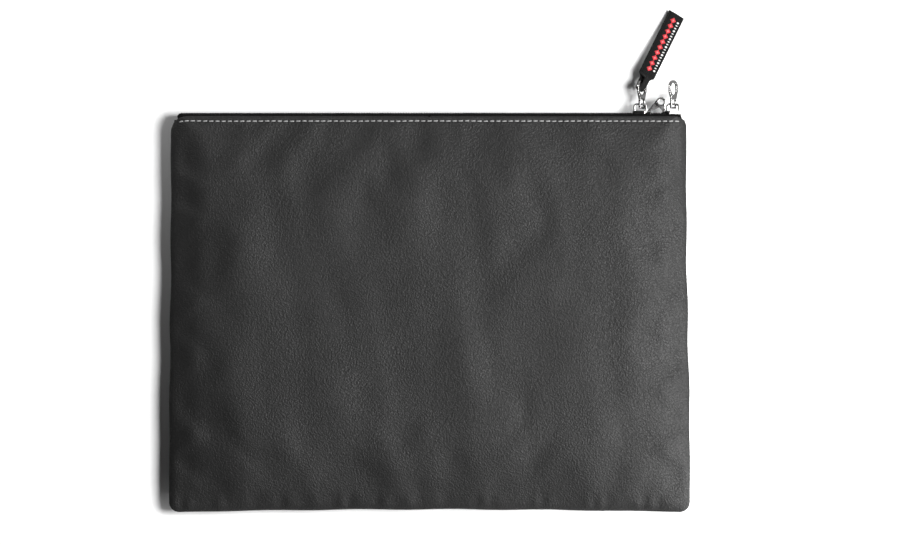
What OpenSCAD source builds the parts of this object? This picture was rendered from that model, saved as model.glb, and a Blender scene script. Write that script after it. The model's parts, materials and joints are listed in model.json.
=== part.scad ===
// Padded document pouch for batteries, lying on its back: a leather-look shell over padding and a
// heat-proof lining, closed by a coil zip with two lockable sliders and a fabric tag.
// +X runs to the right along the zip, +Y from the bottom seam to the zip, +Z out of the front.
// The origin is the centre of the back face that the pouch rests on.

/* [Pouch] */
// Width over the side seams
pouch_w = 300; // [296:1:340]
// Height from the bottom seam to the crown of the zip
pouch_h = 230; // [200:1:260]
// Thickness of the padded pouch lying flat
pouch_t = 20; // [19:0.5:26]
// Distance across the two folded top edges
mouth_t = 12; // [11.6:0.1:13]
// Corner radius beside the zip
top_corner_r = 9; // [8:0.5:12]
// Corner radius at the bottom seam
bottom_corner_r = 6; // [3:0.5:12]
// How far the padding takes to reach its full thickness from a seam
edge_reach = 60; // [50:1:70]
// How far the padding takes to reach its full thickness from the mouth
mouth_reach = 50; // [40:1:60]
// Gap between front and back along the sewn edge
seam_gap = 0.8; // [0.6:0.1:1]

/* [Layers] */
// Thickness of the leather-look shell
leather_t = 1.2; // [1:0.1:1.4]
// Thickness of the padding
padding_t = 1.9; // [1.5:0.1:2.2]
// Thickness of the woven heat-proof lining
lining_t = 0.35; // [0.3:0.05:0.5]

/* [Zip] */
// Width of the closed chain
chain_w = 6; // [5.8:0.1:6.1]
// Thickness of the coils
coil_t = 2.4; // [2.2:0.05:2.4]
// Thickness of the zip tape
tape_t = 0.5; // [0.4:0.05:0.5]
// Length of one visible stitch
stitch_l = 2.4; // [2:0.1:2.8]
// Distance from one stitch to the next
stitch_pitch = 3.6; // [3.2:0.1:4]
// Diameter of the thread
thread_d = 0.7; // [0.5:0.05:0.8]

/* [Sliders] */
// Length of a slider along the zip
slider_l = 10.4; // [10:0.1:10.6]
// Width of a slider across the zip
slider_w = 8; // [7.8:0.1:8.2]
// Distance from the right end of the pouch to the right slider
right_slider_in = 10.8; // [10.6:0.1:12]
// Distance between the two parked sliders
slider_gap = 16.9; // [16.8:0.1:17.2]
// Radius of the padlock hole
lock_hole_r = 1.65; // [1.5:0.05:1.8]
// Thickness of one lock lug
lug_t = 1.5; // [1.3:0.05:1.5]

/* [Pulls] */
// Length of a pull from its pivot to its tip
pull_l = 16; // [15:0.5:18]
// Width of a pull across its ring
pull_w = 8; // [7.6:0.1:8.4]
// Thickness of a pull
pull_t = 1.3; // [1.2:0.05:1.4]
// Turn of the hanging pulls about their own length
pull_twist = 40; // [35:1:45]

/* [Tag] */
// Length of the flat part of the tag
tag_l = 39; // [30:1:44]
// Width of the tag
tag_w = 9.6; // [8:0.1:11]
// Thickness of the folded tag
tag_t = 1.9; // [1.6:0.1:2.2]
// Lean of the tag to the right
tag_lean = 26.5; // [24:0.5:28]
// Droop of the tag towards the table
tag_droop = 9; // [8:0.5:9]

/* [Hidden] */
$fn = 48;
hull_fn = 32;         // sides of a rounded corner inside a hull
eps = 0.01;           // thickness of one hull level, and the overlap of joined shapes
layer_gap = 0.1;      // air between two layers of the pouch
half_t = pouch_t / 2;
half_mouth = mouth_t / 2;
mid_z = half_t;
edge_bulge = 2.2;     // power of the rounded profile at the seams
mouth_bulge = 1.5;    // power of the flatter profile at the mouth
levels = 7;           // levels in one domed half
crown = 1.1;          // how far the coils stand out of the folded edges
bottom_y = -pouch_h / 2;
fold_in = 1;          // distance from the top of the pouch to its folded edges
fold_y = pouch_h / 2 - fold_in;
chain_y = fold_y + crown - coil_t / 2;
padding_off = leather_t + layer_gap;
lining_off = padding_off + padding_t + layer_gap;
tape_hem = 12.5;      // depth of tape sewn behind the folded edge
padding_below_hem = 0.6;
padding_top = fold_y - tape_hem - padding_below_hem;
lining_in = 5;        // distance from the folded edge to the top of the lining
lining_top = fold_y - lining_in;
stitch_in = 4;        // distance from the folded edge to the stitch line
stop_l = 1;           // length of an end stop
end_in = 3;           // distance from the side seams to the ends of the zip
end_x = pouch_w / 2 - end_in;
slot_depth = 3.4;     // depth of the gap that the sliders run in
slot_floor = fold_y - slot_depth;
slot_clear = 0.4;     // air between a slider and the folded edges
slot_half = slider_w / 2 + slot_clear;
coil_in = 1.05;       // distance of each coil from the middle of the zip
coil_end_gap = 0.2;   // air between the coils and an end stop
coil_l = 2 * (end_x - stop_l - coil_end_gap);
tape_y = chain_y - 0.6;                 // lower face of the tape's flat part, beside the coils
hem_end_in = 7;       // distance from the ends of the zip to the ends of the hem
joined_in = 4;        // distance from the corners to where the tape's flat part meets its hem
plate_t = 0.9;        // thickness of a slider's plates
chain_clear = 0.1;    // air between the coils and the slider's plates
tape_slot = [-0.9, 0.35];               // sides of the slot that the tape leaves a slider through
rail_clear = 0.2;     // air between the coils and the slider's rails
rail_end = 1.6;       // where the rails end, towards the nose
diamond_from = 1.8;   // where the wedge that parts the coils starts
diamond_clear = 0.15; // air between that wedge and the coils
tail_in = 0.6;        // how much narrower the tail of a slider is, at each side
tail_r = 0.8;
plate_top = coil_t / 2 + chain_clear + plate_t;
right_slider_x = pouch_w / 2 - right_slider_in;
left_slider_x = right_slider_x - slider_gap;
lock_from_slider = 5.9;                 // distance from the right slider to the padlock hole
lock_rise = 7.4;      // height of the padlock hole above the chain
lock_x = right_slider_x - lock_from_slider;
lock_y = chain_y + lock_rise;
lock_ring_r = 2.7;
lug_gap = 0.1;        // distance of each lug from the middle of the zip
lug_foot = [3.2, 5.1];                  // where a lug leaves the plate, along the slider
bridge_w = 1.5;
bridge_l = 7.8;
bridge_rise = 4.5;    // height of the bridge above the slider's plate
bridge_t = 1.1;
bridge_r = [2, 1.2];  // outer and inner radius of a bridge's shoulders
bridge_back = 1;      // distance from the middle of a slider back to the middle of its bridge
foot_t = 0.5;         // depth of a bridge's feet in the plate
foot_clear = 0.05;    // air around a bridge's feet
pivot_rise = 1.9;     // height of a pull's pivot above the slider's plate
pivot_y = chain_y + plate_top + pivot_rise;
right_pull_shift = 1.2;                 // how far the right pull sits to the right in its bridge
left_pivot = [left_slider_x, pivot_y, mid_z];
right_pivot = [right_slider_x + right_pull_shift, pivot_y, mid_z];
ring_hole = [5, 6.9]; // width and length of the opening in a pull
ring_y = pull_l - pull_w / 2;           // centre of the round tip
ring_straight = 2;    // length of the ring's straight sides
waist_from = 3.6;     // where the waist starts, below the centre of the tip
waist_in = 0.35;      // how much narrower the pull is there, at each side
tip_t = 1.6;          // width of metal at the tip of a pull
eye_half = 1.75;      // half width of the eye at the foot of a pull
eye_bar = 0.7;        // width of the eye's sides
cross_bar_r = 0.6;
rim_point = [-1.35, 14.9]; // where the strap passes over the pull: across, and along from the pivot
loop_half_w = 1.5;    // half width of the strap where the ring pinches it
loop_r = 1.45;        // half gap inside the loop
strap_t = 0.8;        // thickness of one layer of the strap
loop_l = 3.4;         // depth of the loop inside the ring
pinch_rest = 5;       // turn of the pinched strap away from the pull's own twist
pinch_to = 1.7;       // where the pinched strap starts to open out
flat_from = 3.6;      // where it has opened out flat
station_l = 0.5;      // length of the strap at each end of that stretch
band_in = [1.2, 2, 5, 4];               // margins of the band: left, right, ring end and free end
float_t = 0.2;        // thickness of the band and of the bar tack
float_gap = 0.02;     // air between them and the strap
tack_stitch = [0.6, 1.4];               // width and length of one stitch of the bar tack
tack_pitch = 0.95;
tack_half_count = 4;  // stitches to either side of the middle one
tack_from = 2.2;      // distance from the start of the flat part to the bar tack
cord_r = 0.4;         // radius of the filler cord inside a coil
eye_top = 5;          // length of the eye above the pivot
pull_turn = 90 - pull_twist;           // turn of a pull away from lying flat on the pouch

// Distance in from a seam at which the pouch is h thick above its middle
function edge_inset(h) =
    edge_reach * (1 - pow(1 - pow(min(h, half_t) / half_t, edge_bulge), 1 / edge_bulge));

// Height of the pouch above its middle at a distance d in from a seam
function edge_height(d) =
    half_t * pow(1 - pow(1 - min(d, edge_reach) / edge_reach, edge_bulge), 1 / edge_bulge);

// Height of the pouch above its middle at a distance d down from the folded edge
function mouth_height(d) =
    half_mouth + (half_t - half_mouth) * pow(1 - pow(1 - d / mouth_reach, mouth_bulge), 1 / mouth_bulge);

// Inset of a layer that lies off below the skin, at a height z above the middle
function side_inset(z, off) =
    let (h = z * half_t / (half_t - off))
    edge_inset(h) + off * sqrt(max(0, 1 - pow(h / half_t, 2)));

function mouth_inset(z, off) =
    let (rise = (z + off - half_mouth) / (half_t - half_mouth))
    rise <= 0 ? 0 : mouth_reach * (1 - pow(1 - pow(min(rise, 1), mouth_bulge), 1 / mouth_bulge));

module front_side() translate([0, 0, mid_z]) children();
module back_side() translate([0, 0, mid_z]) mirror([0, 0, 1]) children();

// Domed half of the pouch, off below its skin, from floor_z up. past carries its mouth beyond the fold.
module dome(off, floor_z, past) {
    height = half_t - off;
    curve = [for (i = [0 : levels]) max(height * sin(90 * i / levels), seam_gap / 2)];
    heights = concat([seam_gap / 2], curve, [half_mouth - off]);
    hull()
        for (i = [0 : len(heights) - 1]) {
            z = heights[i];
            side = side_inset(z, off);
            mouth = mouth_inset(z, off);
            top = fold_y - mouth + (mouth == 0 ? past : 0);
            top_r = top_corner_r - off / 2 + side / 2;
            bottom_r = bottom_corner_r - off / 2 + side / 2;
            bottom = bottom_y + side;
            level_z = (i == 0 ? floor_z : z) - eps;
            for (x = [-1, 1]) {
                translate([x * (pouch_w / 2 - side - top_r), top - top_r, level_z])
                    cylinder(r = top_r, h = eps, $fn = hull_fn);
                translate([x * (pouch_w / 2 - side - bottom_r), bottom + bottom_r, level_z])
                    cylinder(r = bottom_r, h = eps, $fn = hull_fn);
            }
        }
}

// One layer of a domed half, t thick, with its outer face off below the skin and its edge at top_y
module layer(off, t, top_y) {
    difference() {
        dome(off, seam_gap / 2, 0);
        dome(off + t, eps, 1);
        translate([-end_x, slot_floor, -half_t])
            cube([2 * end_x, pouch_h, half_t + slot_half]);
        translate([-pouch_w, top_y, -half_t])
            cube([2 * pouch_w, pouch_h, 2 * pouch_t]);
    }
}

module panel() color([0.2, 0.2, 0.2]) layer(0, leather_t, fold_y + 1);
module padding() color([0.72, 0.7, 0.62]) layer(padding_off, padding_t, padding_top);
module lining() color([0.75, 0.75, 0.72]) layer(lining_off, lining_t, lining_top);

module front_panel() front_side() panel();
module back_panel() back_side() panel();
module front_padding() front_side() padding();
module back_padding() back_side() padding();
module front_lining() front_side() lining();
module back_lining() back_side() lining();

// Tape of one side: a flat edge that carries the coil, and a hem that lines the folded edge
module zip_tape() {
    hem_off = leather_t + layer_gap / 2;
    flat_z = chain_w / 2 + layer_gap;
    flat_x = end_x - stop_l;
    hem_z = half_mouth - leather_t;
    hem_x = end_x - hem_end_in;
    joined_x = pouch_w / 2 - 2 * top_corner_r - joined_in;
    color([0.06, 0.06, 0.06]) {
        intersection() {
            layer(hem_off, tape_t, fold_y - layer_gap);
            translate([-hem_x, fold_y - tape_hem, 0])
                cube([2 * hem_x, tape_hem, half_t]);
        }
        translate([-flat_x, tape_y, flat_z])
            cube([2 * flat_x, tape_t, slot_half - flat_z - layer_gap]);
        translate([-joined_x, tape_y, flat_z])
            cube([2 * joined_x, tape_t, hem_z - flat_z]);
    }
}

module front_zip_tape() front_side() zip_tape();
module back_zip_tape() back_side() zip_tape();

// Coil of one side, simplified to a bar with the bore that its filler cord runs through
module coil() {
    width = chain_w / 2 - coil_in;
    color([0.05, 0.05, 0.05])
        difference() {
            translate([-coil_l / 2, chain_y - coil_t / 2, coil_in])
                cube([coil_l, coil_t, width]);
            coil_axis(coil_l + 2, cord_r + layer_gap / 2);
        }
}

// Round bar along the middle of a coil
module coil_axis(length, r)
    translate([-length / 2, chain_y, (coil_in + chain_w / 2) / 2])
        rotate([0, 90, 0])
            cylinder(r = r, h = length, $fn = 24);

module coil_cord() color([0.06, 0.06, 0.06]) coil_axis(coil_l, cord_r);

module front_coil() front_side() coil();
module back_coil() back_side() coil();
module front_coil_cord() front_side() coil_cord();
module back_coil_cord() back_side() coil_cord();

// Metal clip across both coils
module end_stop(x)
    color("silver")
        translate([x - stop_l / 2, chain_y - coil_t / 2, mid_z - chain_w / 2])
            cube([stop_l, coil_t, chain_w]);

module left_end_stop() end_stop(-end_x + stop_l / 2);
module right_end_stop() end_stop(end_x - stop_l / 2);

// Row of stitches along a folded edge, each one lying on the curve of the padding
module topstitch() {
    count = floor((pouch_w / 2 - top_corner_r) / stitch_pitch);
    slope = atan((mouth_height(stitch_in + 1) - mouth_height(stitch_in - 1)) / 2);
    color([0.62, 0.62, 0.62])
        for (i = [-count : count]) {
            x = i * stitch_pitch;
            surface = min(mouth_height(stitch_in), edge_height(pouch_w / 2 - abs(x)));
            translate([x - stitch_l / 2, fold_y - stitch_in, surface + thread_d / 2])
                rotate([-slope, 0, 0])
                    translate([0, -thread_d / 2, 0])
                        cube([stitch_l, thread_d, thread_d / 2]);
        }
}

module front_topstitch() front_side() topstitch();
module back_topstitch() back_side() topstitch();

// Stitches that join front and back, hidden in the fold of the sewn edge
module edge_seam_thread() {
    inset = leather_t;
    seam_r = seam_gap / 2 - layer_gap;
    start_y = bottom_y + 2 * bottom_corner_r;
    up = floor((pouch_h - 2 * top_corner_r - 2 * bottom_corner_r) / stitch_pitch);
    across = floor((pouch_w - 4 * bottom_corner_r) / stitch_pitch);
    color([0.1, 0.1, 0.1]) {
        for (i = [0 : up], side = [-1, 1])
            translate([side * (pouch_w / 2 - inset), start_y + i * stitch_pitch, mid_z])
                rotate([-90, 0, 0])
                    cylinder(r = seam_r, h = stitch_l, $fn = 16);
        for (i = [0 : across])
            translate([(i - across / 2) * stitch_pitch - stitch_l / 2, bottom_y + inset, mid_z])
                rotate([0, 90, 0])
                    cylinder(r = seam_r, h = stitch_l, $fn = 16);
    }
}

// Outline of a slider's plates: a round nose towards +X and a narrower tail
module slider_outline() {
    nose_r = slider_w / 2;
    nose_x = slider_l / 2 - nose_r;
    tail_half = slider_w / 2 - tail_in;
    translate([nose_x, 0])
        circle(nose_r);
    polygon([
        [nose_x, -nose_r], [nose_x, nose_r],
        [-slider_l / 2 + tail_r, tail_half], [-slider_l / 2 + tail_r, -tail_half]
    ]);
    translate([-slider_l / 2, -tail_half + tail_r])
        square([tail_r + eps, 2 * (tail_half - tail_r)]);
    for (y = [-1, 1])
        translate([-slider_l / 2 + tail_r, y * (tail_half - tail_r)])
            circle(tail_r);
}

// Slab of the slider's outline from height y0 to y1 beside the middle of the chain
module slider_slab(y0, y1)
    translate([0, y1, 0])
        rotate([90, 0, 0])
            linear_extrude(y1 - y0)
                slider_outline();

// Channel between the plates: open to the nose, with rails that hold the coils in at the tail
module slider_channel() {
    inner = plate_top - plate_t;
    rail_in = chain_w / 2 + rail_clear;
    translate([-slider_l, -inner, -rail_in])
        cube([2 * slider_l, 2 * inner, 2 * rail_in]);
    translate([-slider_l, tape_slot[0], -slider_w])
        cube([2 * slider_l, tape_slot[1] - tape_slot[0], 2 * slider_w]);
    translate([rail_end, -inner, -slider_w])
        cube([slider_l, 2 * inner, 2 * slider_w]);
}

// Lug that carries the padlock ring, from z0 to z0 + lug_t
module lock_lug(ring, z0) {
    flank = lock_ring_r * sin(45) * [1, -1];
    translate([0, 0, z0])
        linear_extrude(lug_t) {
            translate(ring)
                circle(lock_ring_r);
            polygon([
                [lug_foot[0], plate_top - plate_t], [lug_foot[1], plate_top - plate_t],
                [lug_foot[1], plate_top], ring + flank, ring - flank, [lug_foot[0], plate_top]
            ]);
        }
}

// Body of a slider around the chain's middle, nose towards +X
module slider_body(ring, z0) {
    inner = plate_top - plate_t;
    diamond_half = coil_in - diamond_clear;
    foot_half = [bridge_t / 2, 0, bridge_w / 2];
    color([0.75, 0.76, 0.78]) {
        difference() {
            union() {
                slider_slab(-plate_top, plate_top);
                lock_lug(ring, z0);
            }
            slider_channel();
            translate([ring[0], ring[1], -slider_w])
                cylinder(r = lock_hole_r, h = 2 * slider_w);
            for (x = bridge_feet())
                translate([x, plate_top - foot_t - foot_clear, 0] - foot_clear * [1, 0, 1] - foot_half)
                    cube(2 * foot_half + [2 * foot_clear, 2 * foot_t, 2 * foot_clear]);
        }
        intersection() {
            slider_slab(-inner - eps, inner + eps);
            translate([diamond_from, -inner - eps, -diamond_half])
                cube([slider_l, 2 * inner + 2 * eps, 2 * diamond_half]);
        }
    }
}

// Places of a bridge's two feet along the slider
function bridge_feet() = [for (x = [-1, 1]) -bridge_back + x * (bridge_l - bridge_t) / 2];

// Filled arch, width wide and height high, with rounded shoulders
module arch(width, height, r) {
    translate([-width / 2, -foot_t])
        square([width, height - r + foot_t]);
    translate([-width / 2 + r, 0])
        square([width - 2 * r, height]);
    for (x = [-1, 1])
        translate([x * (width / 2 - r), height - r])
            circle(r);
}

// Bridge that holds the pull, crimped into the slider's outer plate
module slider_bridge()
    color([0.8, 0.81, 0.83])
        translate([-bridge_back, plate_top, -bridge_w / 2])
            linear_extrude(bridge_w)
                difference() {
                    arch(bridge_l, bridge_rise, bridge_r[0]);
                    translate([0, -eps])
                        arch(bridge_l - 2 * bridge_t, bridge_rise - bridge_t, bridge_r[1]);
                    translate([-bridge_l / 2 + bridge_t, -foot_t - eps])
                        square([bridge_l - 2 * bridge_t, foot_t + 1]);
                }

// Sliders sit on the chain with their noses facing each other
module left_slider() translate([left_slider_x, chain_y, mid_z]) children();
module right_slider() translate([right_slider_x, chain_y, mid_z]) mirror([1, 0, 0]) children();

left_ring = [lock_x - left_slider_x, lock_y - chain_y];
right_ring = [right_slider_x - lock_x, lock_y - chain_y];

module left_slider_body() left_slider() slider_body(left_ring, -lug_t - lug_gap);
module right_slider_body() right_slider() slider_body(right_ring, lug_gap);
module left_slider_bridge() left_slider() slider_bridge();
module right_slider_bridge() right_slider() slider_bridge();

// Flat outline of a pull: an eye at the pivot, a waist, and a wide ring at the tip
module pull_outline() {
    eye_w = eye_half + eye_bar;
    waist_half = pull_w / 2 - waist_in;
    difference() {
        union() {
            translate([0, ring_y])
                circle(pull_w / 2);
            translate([0, ring_y - ring_straight])
                circle(pull_w / 2);
            translate([-pull_w / 2, ring_y - ring_straight])
                square([pull_w, ring_straight]);
            polygon([
                [-waist_half, ring_y - waist_from], [waist_half, ring_y - waist_from],
                [eye_w, eye_top], [-eye_w, eye_top]
            ]);
            translate([-eye_w, 0])
                square([2 * eye_w, eye_top + eps]);
        }
        translate([-eye_half, 0])
            square([2 * eye_half, eye_top - eye_half]);
        translate([0, eye_top - eye_half])
            circle(eye_half);
        for (y = [0, ring_hole[0] - ring_hole[1]])
            translate([0, pull_l - tip_t - ring_hole[0] / 2 + y])
                circle(ring_hole[0] / 2);
        translate([-ring_hole[0] / 2, pull_l - tip_t - ring_hole[1] + ring_hole[0] / 2])
            square([ring_hole[0], ring_hole[1] - ring_hole[0]]);
    }
}

// Pull with its pivot at the origin, hanging loosely twisted about its own length
module pull(pivot)
    color([0.82, 0.83, 0.85])
        translate(pivot)
            rotate([0, pull_turn, 0]) {
                translate([0, 0, -pull_t / 2])
                    linear_extrude(pull_t)
                        pull_outline();
                translate([-eye_half - eye_bar, 0, 0])
                    rotate([0, 90, 0])
                        cylinder(r = cross_bar_r, h = 2 * (eye_half + eye_bar));
            }

module left_pull() pull(left_pivot);
module right_pull() pull(right_pivot);

// Places a shape in the tag's own frame: +Y along the tag, +X across it, +Z out of its face
module on_tag() {
    across = [sin(pull_twist), cos(pull_twist)];
    translate(left_pivot + [-across[0] * rim_point[0], rim_point[1], across[1] * rim_point[0]])
        rotate([-tag_droop, 0, -tag_lean])
            children();
}

// Strap looped through the left pull and doubled back on itself
module tag_strap() {
    outer_r = loop_r + strap_t;
    pinch = 90 - pull_twist - pinch_rest;
    color([0.07, 0.07, 0.07])
        on_tag() {
            rotate([0, pinch, 0])
                translate([-loop_half_w, 0, 0])
                    rotate([90, 0, 90])
                        linear_extrude(2 * loop_half_w)
                            difference() {
                                union() {
                                    translate([-loop_l, 0])
                                        circle(outer_r);
                                    translate([-loop_l, -outer_r])
                                        square([loop_l + pinch_to + station_l, 2 * outer_r]);
                                }
                                translate([-loop_l, 0])
                                    circle(loop_r);
                                translate([-loop_l, -loop_r])
                                    square([loop_l + pinch_to - layer_gap, 2 * loop_r]);
                            }
            hull() {
                rotate([0, pinch, 0])
                    translate([-loop_half_w, pinch_to, -outer_r])
                        cube([2 * loop_half_w, station_l, 2 * outer_r]);
                translate([-tag_w / 2, flat_from, -tag_t / 2])
                    cube([tag_w, station_l, tag_t]);
            }
            translate([-tag_w / 2, flat_from, -tag_t / 2])
                cube([tag_w, tag_l, tag_t]);
        }
}

// Woven colour band on the tag's upper face
module tag_band()
    color([0.75, 0.08, 0.1])
        on_tag()
            translate([-tag_w / 2 + band_in[0], flat_from + band_in[2], tag_t / 2 + float_gap])
                cube([tag_w - band_in[0] - band_in[1], tag_l - band_in[2] - band_in[3], float_t]);

// Bar tack across the tag that holds the two layers together
module tag_stitching()
    color([0.1, 0.1, 0.1])
        on_tag()
            translate([-tack_stitch[0] / 2, flat_from + tack_from, tag_t / 2 + float_gap])
                for (i = [-tack_half_count : tack_half_count])
                    translate([i * tack_pitch, 0, 0])
                        cube([tack_stitch[0], tack_stitch[1], float_t]);

front_panel();
back_panel();
front_padding();
back_padding();
front_lining();
back_lining();
front_zip_tape();
back_zip_tape();
front_coil();
back_coil();
front_coil_cord();
back_coil_cord();
left_end_stop();
right_end_stop();
front_topstitch();
back_topstitch();
edge_seam_thread();
left_slider_body();
left_slider_bridge();
left_pull();
right_slider_body();
right_slider_bridge();
right_pull();
tag_strap();
tag_band();
tag_stitching();
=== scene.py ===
"""Looks of a flat padded zip pouch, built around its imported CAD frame.

Metres, +X right along the zip, +Y from the bottom seam to the zip, +Z out of the front face.
Every soft layer is built from one height field per half, so that the layers never touch.
"""

import json
from math import cos, pi, radians, sin

import bpy
import numpy as np
from mathutils import Matrix, Vector, noise


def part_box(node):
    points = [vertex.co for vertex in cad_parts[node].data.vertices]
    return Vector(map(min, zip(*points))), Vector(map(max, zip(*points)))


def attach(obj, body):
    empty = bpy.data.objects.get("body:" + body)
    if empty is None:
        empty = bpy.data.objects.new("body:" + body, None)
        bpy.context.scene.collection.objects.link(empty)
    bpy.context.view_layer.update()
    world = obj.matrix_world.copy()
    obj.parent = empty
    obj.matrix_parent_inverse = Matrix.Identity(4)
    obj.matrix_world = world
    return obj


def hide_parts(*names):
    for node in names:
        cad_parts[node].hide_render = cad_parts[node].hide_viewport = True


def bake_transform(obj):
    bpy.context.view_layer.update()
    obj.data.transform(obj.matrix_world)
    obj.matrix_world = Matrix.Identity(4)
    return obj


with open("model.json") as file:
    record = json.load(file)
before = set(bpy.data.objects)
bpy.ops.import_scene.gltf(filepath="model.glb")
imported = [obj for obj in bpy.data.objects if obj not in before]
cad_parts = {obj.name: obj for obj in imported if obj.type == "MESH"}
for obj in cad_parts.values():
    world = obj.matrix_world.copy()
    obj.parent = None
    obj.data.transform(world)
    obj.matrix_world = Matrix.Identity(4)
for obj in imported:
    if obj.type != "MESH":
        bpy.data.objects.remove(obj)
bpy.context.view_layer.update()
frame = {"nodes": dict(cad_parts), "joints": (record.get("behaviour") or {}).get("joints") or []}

# ---------------------------------------------------------------- sizes from the frame
MM = 0.001
PANEL_LO, PANEL_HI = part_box("front_panel")
COIL_LO, COIL_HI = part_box("front_coil")
STITCH_LO, STITCH_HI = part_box("front_topstitch")
HALF_W = PANEL_HI.x
SEAM_Y = PANEL_LO.y
FOLD_Y = PANEL_HI.y
MID_Z = (PANEL_HI.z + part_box("back_panel")[0].z) / 2
HALF_T = PANEL_HI.z - MID_Z
HALF_GAP = PANEL_LO.z - MID_Z
CHAIN_Y = (COIL_LO.y + COIL_HI.y) / 2
STITCH_IN = FOLD_Y - (STITCH_LO.y + STITCH_HI.y) / 2
LEFT_SLIDER_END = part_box("left_slider_body")[1].x
RIGHT_SLIDER_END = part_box("right_slider_body")[0].x
TAG_ORIGIN = Vector(next(j for j in frame["joints"] if j["name"] == "tag_swing")["pos_m"])

# ---------------------------------------------------------------- sizes of the soft layers
HALF_MOUTH = 6 * MM            # half the distance across the two folded edges
EDGE_REACH = 60 * MM           # width of the padding's rounded run-out at a seam
MOUTH_REACH = 50 * MM
EDGE_BULGE = 2.2
MOUTH_BULGE = 1.5
TOP_LEFT_R, TOP_RIGHT_R = 10.5 * MM, 7.5 * MM
BOTTOM_R = 6 * MM
# Each layer: its depth below the skin, its thickness, and how far below the fold it ends
LEATHER_T, LEATHER_TOP = 1.2 * MM, 1.6 * MM
TAPE_OFF, TAPE_T, TAPE_HEM = 1.5 * MM, 0.5 * MM, 12.5 * MM
PADDING_OFF, PADDING_T, PADDING_TOP = 1.3 * MM, 1.9 * MM, 13.1 * MM
LINING_OFF, LINING_T, LINING_TOP = 3.3 * MM, 0.35 * MM, 5 * MM
STITCH_L, STITCH_PITCH, THREAD_D = 2.4 * MM, 3.6 * MM, 0.7 * MM
STITCH_MARGIN = 5 * MM         # from the last topstitch to the side of the pouch
SEAM_IN = 1.5 * MM             # from the outline in to the thread of the turned seam
GRID = STITCH_PITCH / 3        # spacing of the grid lines across the pouch
FRONT, BACK = 1, -1


def smooth(t):
    t = np.clip(t, 0, 1)
    return t * t * (3 - 2 * t)


def bump(t, width):
    """Gaussian hump that is 1 at t = 0"""
    return np.exp(-(t / width) ** 2)


# ---------------------------------------------------------------- shape of the pouch
def grid_lines():
    """Pattern coordinates of the grid: columns and rows that crowd towards the sewn edges"""
    zone, steps = 12 * MM, 12
    crowd = zone * (np.arange(steps + 1) / steps) ** 2
    inner = round((HALF_W - zone) / GRID)
    middle = np.arange(-inner + 1, inner) * GRID
    columns = np.concatenate([crowd - HALF_W, middle, (HALF_W - crowd)[::-1]])
    fine, hem = 0.4 * MM, 9.6 * MM
    low, high = SEAM_Y + zone, FOLD_Y - hem
    body = np.linspace(low, high, round((high - low) / (1.25 * GRID)))
    near_fold = high + np.arange(1, round(hem / fine) + 1) * fine
    rows = np.concatenate([SEAM_Y + crowd, body[1:], near_fold])
    return columns, rows


def edge_rise(d):
    """Share of the full height at a distance d in from a sewn edge"""
    near = 1 - np.clip(d / EDGE_REACH, 0, 1)
    return (1 - near ** EDGE_BULGE) ** (1 / EDGE_BULGE)


def mouth_height(d):
    near = 1 - np.clip(d / MOUTH_REACH, 0, 1)
    return HALF_MOUTH + (HALF_T - HALF_MOUTH) * (1 - near ** MOUTH_BULGE) ** (1 / MOUTH_BULGE)


def soft_min(a, b, k):
    return np.minimum(a, b) - np.maximum(k - np.abs(a - b), 0) ** 2 / (4 * k)


def pillow_height(px, py):
    """Height above the middle plane, without folds. The zip holds the top corners open."""
    below, above = py - SEAM_Y, FOLD_Y - py
    corner_lift, corner_reach, blend_width = 1.2, 9 * MM, 0.8 * MM
    steep = 1 + corner_lift * np.exp(-above / corner_reach)
    sides = edge_rise((HALF_W + px) * steep) * edge_rise((HALF_W - px) * steep)
    return soft_min(HALF_T * sides * edge_rise(below), mouth_height(above), blend_width)


def place_outline(px, py):
    """Turns square pattern coordinates into the pouch's outline: round corners, drawn-in sides"""
    x, y = px.copy(), py.copy()
    top_r = np.where(px < 0, TOP_LEFT_R, TOP_RIGHT_R)
    for corner_y, inward, r in ((FOLD_Y, -1, top_r), (SEAM_Y, 1, BOTTOM_R)):
        u = np.clip(1 - (HALF_W - np.abs(px)) / r, 0, 1)
        v = np.clip(1 - np.abs(py - corner_y) / r, 0, 1)
        x -= np.sign(px) * r * u * (1 - np.sqrt(1 - v * v / 2))
        y += inward * r * v * (1 - np.sqrt(1 - u * u / 2))
    up = (py - SEAM_Y) / (FOLD_Y - SEAM_Y)
    side = px / HALF_W
    taper = (1.5 + 0.5 * np.sign(px)) * smooth(1.6 * up - 0.2)
    wave = 0.35 * np.sin(py / (7.5 * MM) + np.sign(px)) * np.sin(pi * up)
    x -= side * side * np.sign(px) * taper * MM
    x += side ** 8 * wave * MM
    drawn_in = 1.7 * (1 - side * side) + 0.25 * np.sin(px / (8.5 * MM)) * (1 - side ** 4)
    y += drawn_in * (1 - smooth(3 * up)) * MM
    return x, y


def noise_field(x, y, seed):
    flat = [noise.noise((a, b, seed)) for a, b in zip(x.ravel(), y.ravel())]
    return np.array(flat).reshape(x.shape)


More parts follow.
